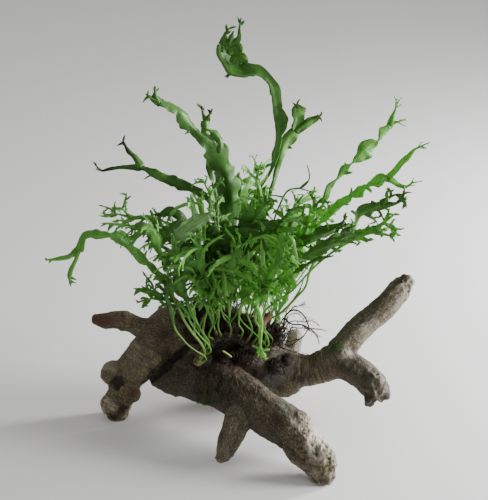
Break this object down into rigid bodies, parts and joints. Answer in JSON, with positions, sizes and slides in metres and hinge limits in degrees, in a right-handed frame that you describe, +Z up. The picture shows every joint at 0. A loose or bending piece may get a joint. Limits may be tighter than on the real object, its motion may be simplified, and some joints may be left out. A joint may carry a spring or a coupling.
{
  "type": "java fern on driftwood",
  "caption": "Lace-leaved java fern with long forked and crested fronds, rooted by creeping rhizomes and a dark root mat on a branching driftwood log that stands on its feet.",
  "frame": {"origin": "on the ground, under the middle of the whole object's box", "axes": "+Z up, +X to the right and +Y away from the side that the long front log points to"},
  "size_m": [0.2372, 0.1813, 0.2763],
  "materials": {
    "driftwood": "weathered grey-brown fibrous bark, matt",
    "bare_wood": "pale bare weathered wood, matt",
    "rhizome": "green-brown, scaly and fuzzy",
    "root_fibre": "dark brown wiry root fibre",
    "frond_dark": "wet dark green leaf, glossy",
    "frond_green": "green leaf, satin to glossy, slightly see-through",
    "frond_light": "young light green leaf, satin, slightly see-through"
  },
  "bodies": {
    "root": {"trunk": "driftwood", "front_log": "driftwood", "middle_peg": "driftwood", "left_limb": "driftwood", "left_horn": "driftwood", "right_limb": "driftwood", "upper_right_branch": "driftwood", "lower_right_stub": "driftwood", "back_leg": "driftwood", "back_stub": "bare_wood", "rhizome_front": "rhizome", "rhizome_middle": "rhizome", "rhizome_back": "rhizome", "root_mat": "root_fibre", "wiry_roots": "root_fibre", "frond_tall_left": "frond_green", "frond_behind_tall_left": "frond_dark", "frond_dark_left_arm": "frond_dark", "frond_wispy_upper_left": "frond_green", "frond_bright_upper_left": "frond_light", "frond_glossy_curled": "frond_light", "frond_long_drooping_left": "frond_green", "frond_arching_front_left": "frond_green", "frond_lacy_far_left": "frond_green", "frond_dark_arch_left": "frond_dark", "frond_low_left": "frond_green", "frond_curled_low_left": "frond_dark", "frond_tall_curl": "frond_dark", "frond_right_of_tall": "frond_green", "frond_right_upper": "frond_light", "frond_right_middle": "frond_green", "frond_right_lacy": "frond_dark", "frond_right_lacy_low": "frond_green", "frond_broad_right": "frond_dark", "frond_broad_right_low": "frond_dark", "frond_short_right": "frond_light", "frond_pale_drooping_front": "frond_light", "frond_bright_lacy_centre": "frond_light", "frond_lacy_upper_centre": "frond_green", "frond_star_lacy": "frond_green", "frond_wire_upper_right": "frond_dark", "frond_dark_across": "frond_dark", "frond_broad_green_centre": "frond_green", "frond_arching_right_centre": "frond_light", "frond_pale_right_centre": "frond_light", "frond_light_right": "frond_light", "frond_broad_stem_left": "frond_green", "frond_front_low_left": "frond_green", "frond_front_low_centre": "frond_green", "frond_front_low_right": "frond_green", "frond_back_left": "frond_green", "frond_back_centre": "frond_dark", "frond_back_right": "frond_green", "frond_back_low_left": "frond_green", "frond_back_low_right": "frond_dark", "frond_back_upper": "frond_green", "frond_middle_left": "frond_green", "frond_middle_right": "frond_green"}
  },
  "joints": []
}
